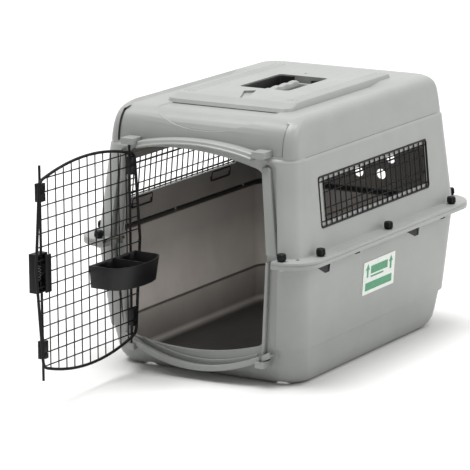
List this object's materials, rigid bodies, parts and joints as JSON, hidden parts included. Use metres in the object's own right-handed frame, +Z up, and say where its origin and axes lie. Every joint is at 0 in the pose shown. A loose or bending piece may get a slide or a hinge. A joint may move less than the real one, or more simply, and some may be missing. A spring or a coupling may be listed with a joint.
{
  "type": "two-piece plastic pet kennel",
  "caption": "Moulded pet travel kennel with a wire grille door on rods, squeeze latch, wire window grilles, knobbed mid flange, fold-down carry handle and hanging double bowl.",
  "frame": {"origin": "middle of the flat base, on the surface it stands on", "axes": "+Z up, -Y is the door end, +X is the kennel's right side seen from behind the door"},
  "size_m": [0.521, 0.9948, 0.526],
  "materials": {
    "upper_shell_plastic": "satin moulded polypropylene, warm light grey",
    "lower_shell_plastic": "satin moulded polypropylene, warm light grey",
    "black_wire": "semi-gloss black powder coat on steel wire",
    "black_plastic": "satin black moulded nylon or polypropylene",
    "grip_plastic": "light grey moulded grip, fine texture",
    "bolt_steel": "zinc-plated steel",
    "spring_steel": "bright spring wire",
    "label_paper": "white satin sticker with plain green arrows and bars"
  },
  "bodies": {
    "kennel": {"flange_bolt_01": "bolt_steel", "flange_bolt_02": "bolt_steel", "flange_bolt_03": "bolt_steel", "flange_bolt_04": "bolt_steel", "flange_bolt_05": "bolt_steel", "flange_bolt_06": "bolt_steel", "flange_bolt_07": "bolt_steel", "flange_bolt_08": "bolt_steel", "flange_bolt_09": "bolt_steel", "flange_bolt_10": "bolt_steel", "handle_liner": "black_plastic", "handle_pivot_front": "black_plastic", "handle_pivot_rear": "black_plastic", "knob_nut_01": "black_plastic", "knob_nut_02": "black_plastic", "knob_nut_03": "black_plastic", "knob_nut_04": "black_plastic", "knob_nut_05": "black_plastic", "knob_nut_06": "black_plastic", "knob_nut_07": "black_plastic", "knob_nut_08": "black_plastic", "knob_nut_09": "black_plastic", "knob_nut_10": "black_plastic", "label_plate": "label_paper", "lower_shell": "lower_shell_plastic", "upper_shell": "upper_shell_plastic", "window_clip_left_front": "black_wire", "window_clip_left_rear": "black_wire", "window_clip_right_front": "black_wire", "window_clip_right_rear": "black_wire", "window_frame_left": "black_wire", "window_frame_right": "black_wire", "window_grille_left": "black_wire", "window_grille_right": "black_wire", "window_rail_left_lower": "black_wire", "window_rail_left_upper": "black_wire", "window_rail_right_lower": "black_wire", "window_rail_right_upper": "black_wire"},
    "door": {"door_panel": "black_wire", "hinge_rod": "black_wire", "hinge_clip_upper": "black_plastic", "hinge_clip_lower": "black_plastic", "latch_clip_upper": "black_plastic", "latch_clip_lower": "black_plastic", "latch_housing": "black_plastic", "latch_back_plate": "black_plastic", "latch_spring": "spring_steel"},
    "latch_upper": {"latch_tab_upper": "black_plastic", "latch_rod_upper": "black_wire"},
    "latch_lower": {"latch_tab_lower": "black_plastic", "latch_rod_lower": "black_wire"},
    "bowl": {"double_bowl": "black_plastic"},
    "carry_handle": {"carry_handle": "grip_plastic"}
  },
  "joints": [
    {"name": "door_swing", "type": "hinge", "parent": "kennel", "child": "door", "pos_m": [-0.1451, -0.3223, 0.25], "axis": [0, 0, 1], "range_deg": [-44, 91.8]},
    {"name": "latch_squeeze", "type": "slide", "parent": "door", "child": "latch_upper", "axis": [0, 0, -1], "range_m": [0, 0.01], "stiffness_N_per_m": 400, "springref_m": -0.005, "deforming": ["latch_spring"]},
    {"name": "latch_lower_slide", "type": "slide", "parent": "door", "child": "latch_lower", "axis": [0, 0, 1], "range_m": [0, 0.01]},
    {"name": "bowl_lift", "type": "slide", "parent": "door", "child": "bowl", "axis": [0, 0, 1], "range_m": [0, 0.018]},
    {"name": "handle_fold", "type": "hinge", "parent": "kennel", "child": "carry_handle", "pos_m": [0.03, 0.019, 0.508], "axis": [0, 1, 0], "range_deg": [0, 95]}
  ],
  "couplings": [
    {"joint": "latch_lower_slide", "follows": "latch_squeeze", "ratio": 1}
  ]
}
